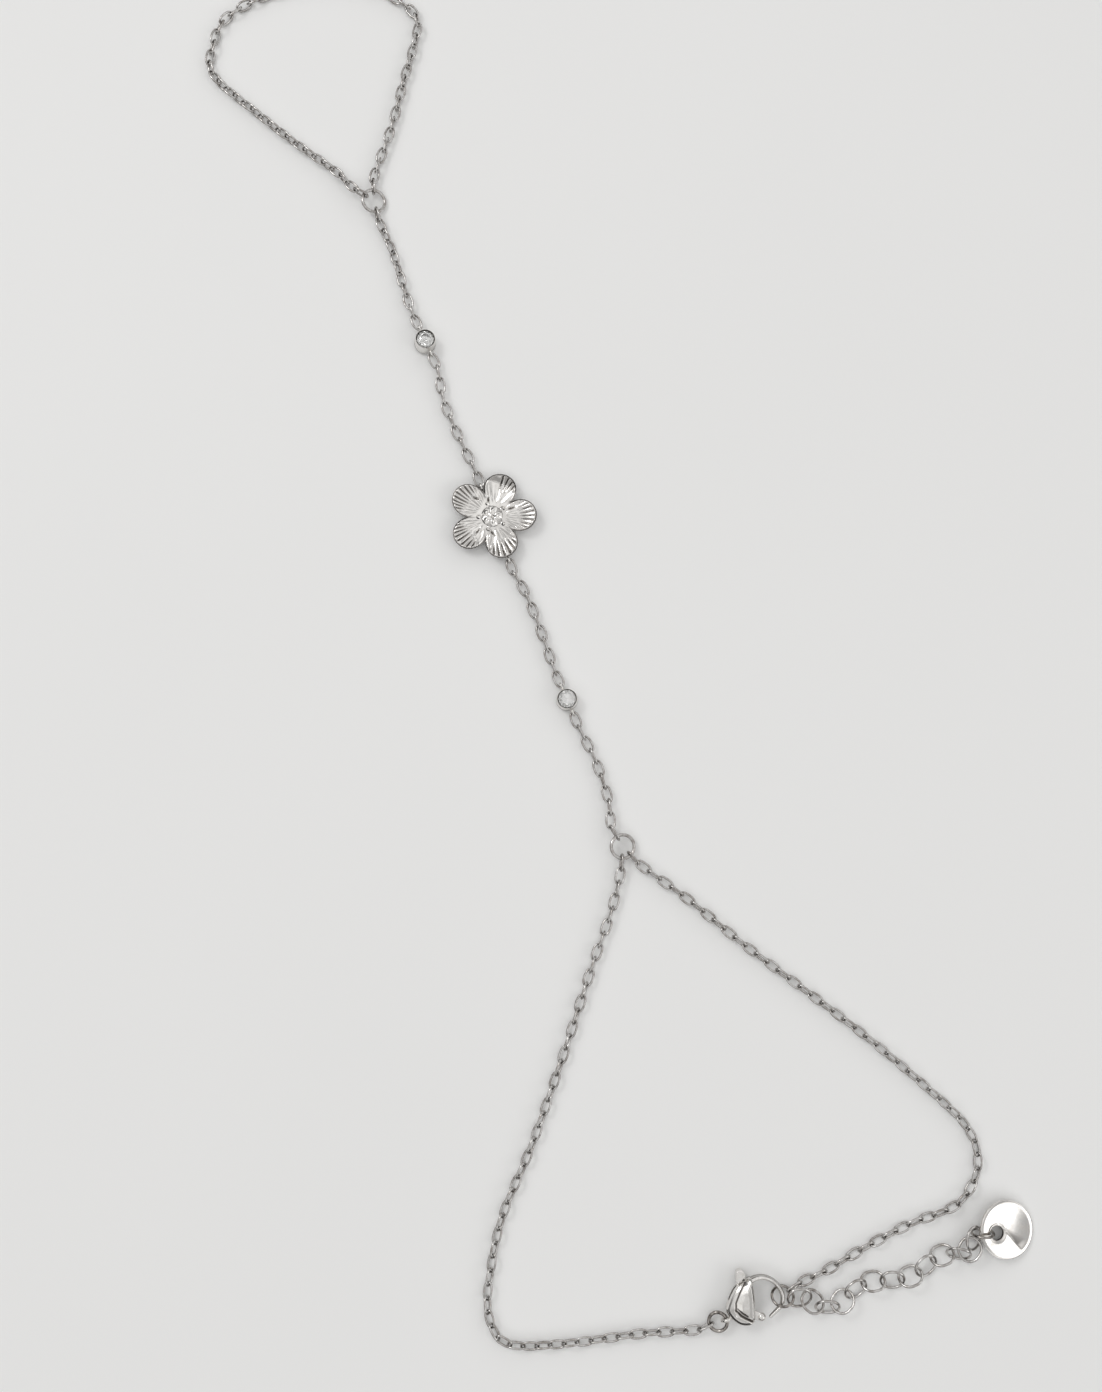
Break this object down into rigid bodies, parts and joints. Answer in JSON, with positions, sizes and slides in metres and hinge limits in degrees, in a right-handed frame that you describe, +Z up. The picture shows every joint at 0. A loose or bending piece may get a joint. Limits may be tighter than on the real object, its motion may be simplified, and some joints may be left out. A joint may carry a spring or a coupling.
{
  "type": "hand chain bracelet",
  "caption": "Hand chain of fine cable links with a finger loop, two round stone settings, a five-petal flower, a wrist loop, a lobster clasp, an extender and a plain round tag.",
  "frame": {"origin": "centre of the flower's flat round back, on the surface that the bracelet lies on", "axes": "+Z up from the surface toward the flower's face, +Y along the hand toward the finger loop, +X to the right seen from above"},
  "size_m": [0.1018, 0.1714, 0.0028],
  "materials": {
    "polished_steel": "polished",
    "bright_steel": "bright polished",
    "clear_stone": "clear cut stone"
  },
  "bodies": {
    "bracelet": {"flower": "bright_steel", "bezel_1": "bright_steel", "stone_1": "clear_stone", "bezel_2": "bright_steel", "stone_2": "clear_stone", "finger_ring": "polished_steel", "wrist_ring": "polished_steel", "finger_chain": "polished_steel", "hand_chain_a": "polished_steel", "hand_chain_b": "polished_steel", "hand_chain_c": "polished_steel", "hand_chain_d": "polished_steel", "wrist_chain_right": "polished_steel", "wrist_chain_left": "polished_steel", "clasp_body": "polished_steel", "clasp_ring": "polished_steel", "end_ring": "polished_steel", "extender_ring_1": "polished_steel", "extender_ring_2": "polished_steel", "extender_ring_3": "polished_steel", "extender_ring_4": "polished_steel", "extender_ring_5": "polished_steel", "extender_ring_6": "polished_steel", "extender_ring_7": "polished_steel", "extender_ring_8": "polished_steel", "extender_ring_9": "polished_steel", "extender_ring_10": "polished_steel", "extender_ring_11": "polished_steel", "extender_ring_12": "polished_steel", "extender_ring_13": "polished_steel", "tag_ring": "polished_steel", "tag": "bright_steel"},
    "gate": {"clasp_gate": "polished_steel"}
  },
  "joints": [
    {"name": "gate_hinge", "type": "hinge", "parent": "bracelet", "child": "gate", "pos_m": [0.02982, -0.09519, 0.00115], "axis": [0, 0, 1], "range_deg": [0, 22], "stiffness_Nm_per_rad": 0.002, "springref_deg": -17.19}
  ]
}
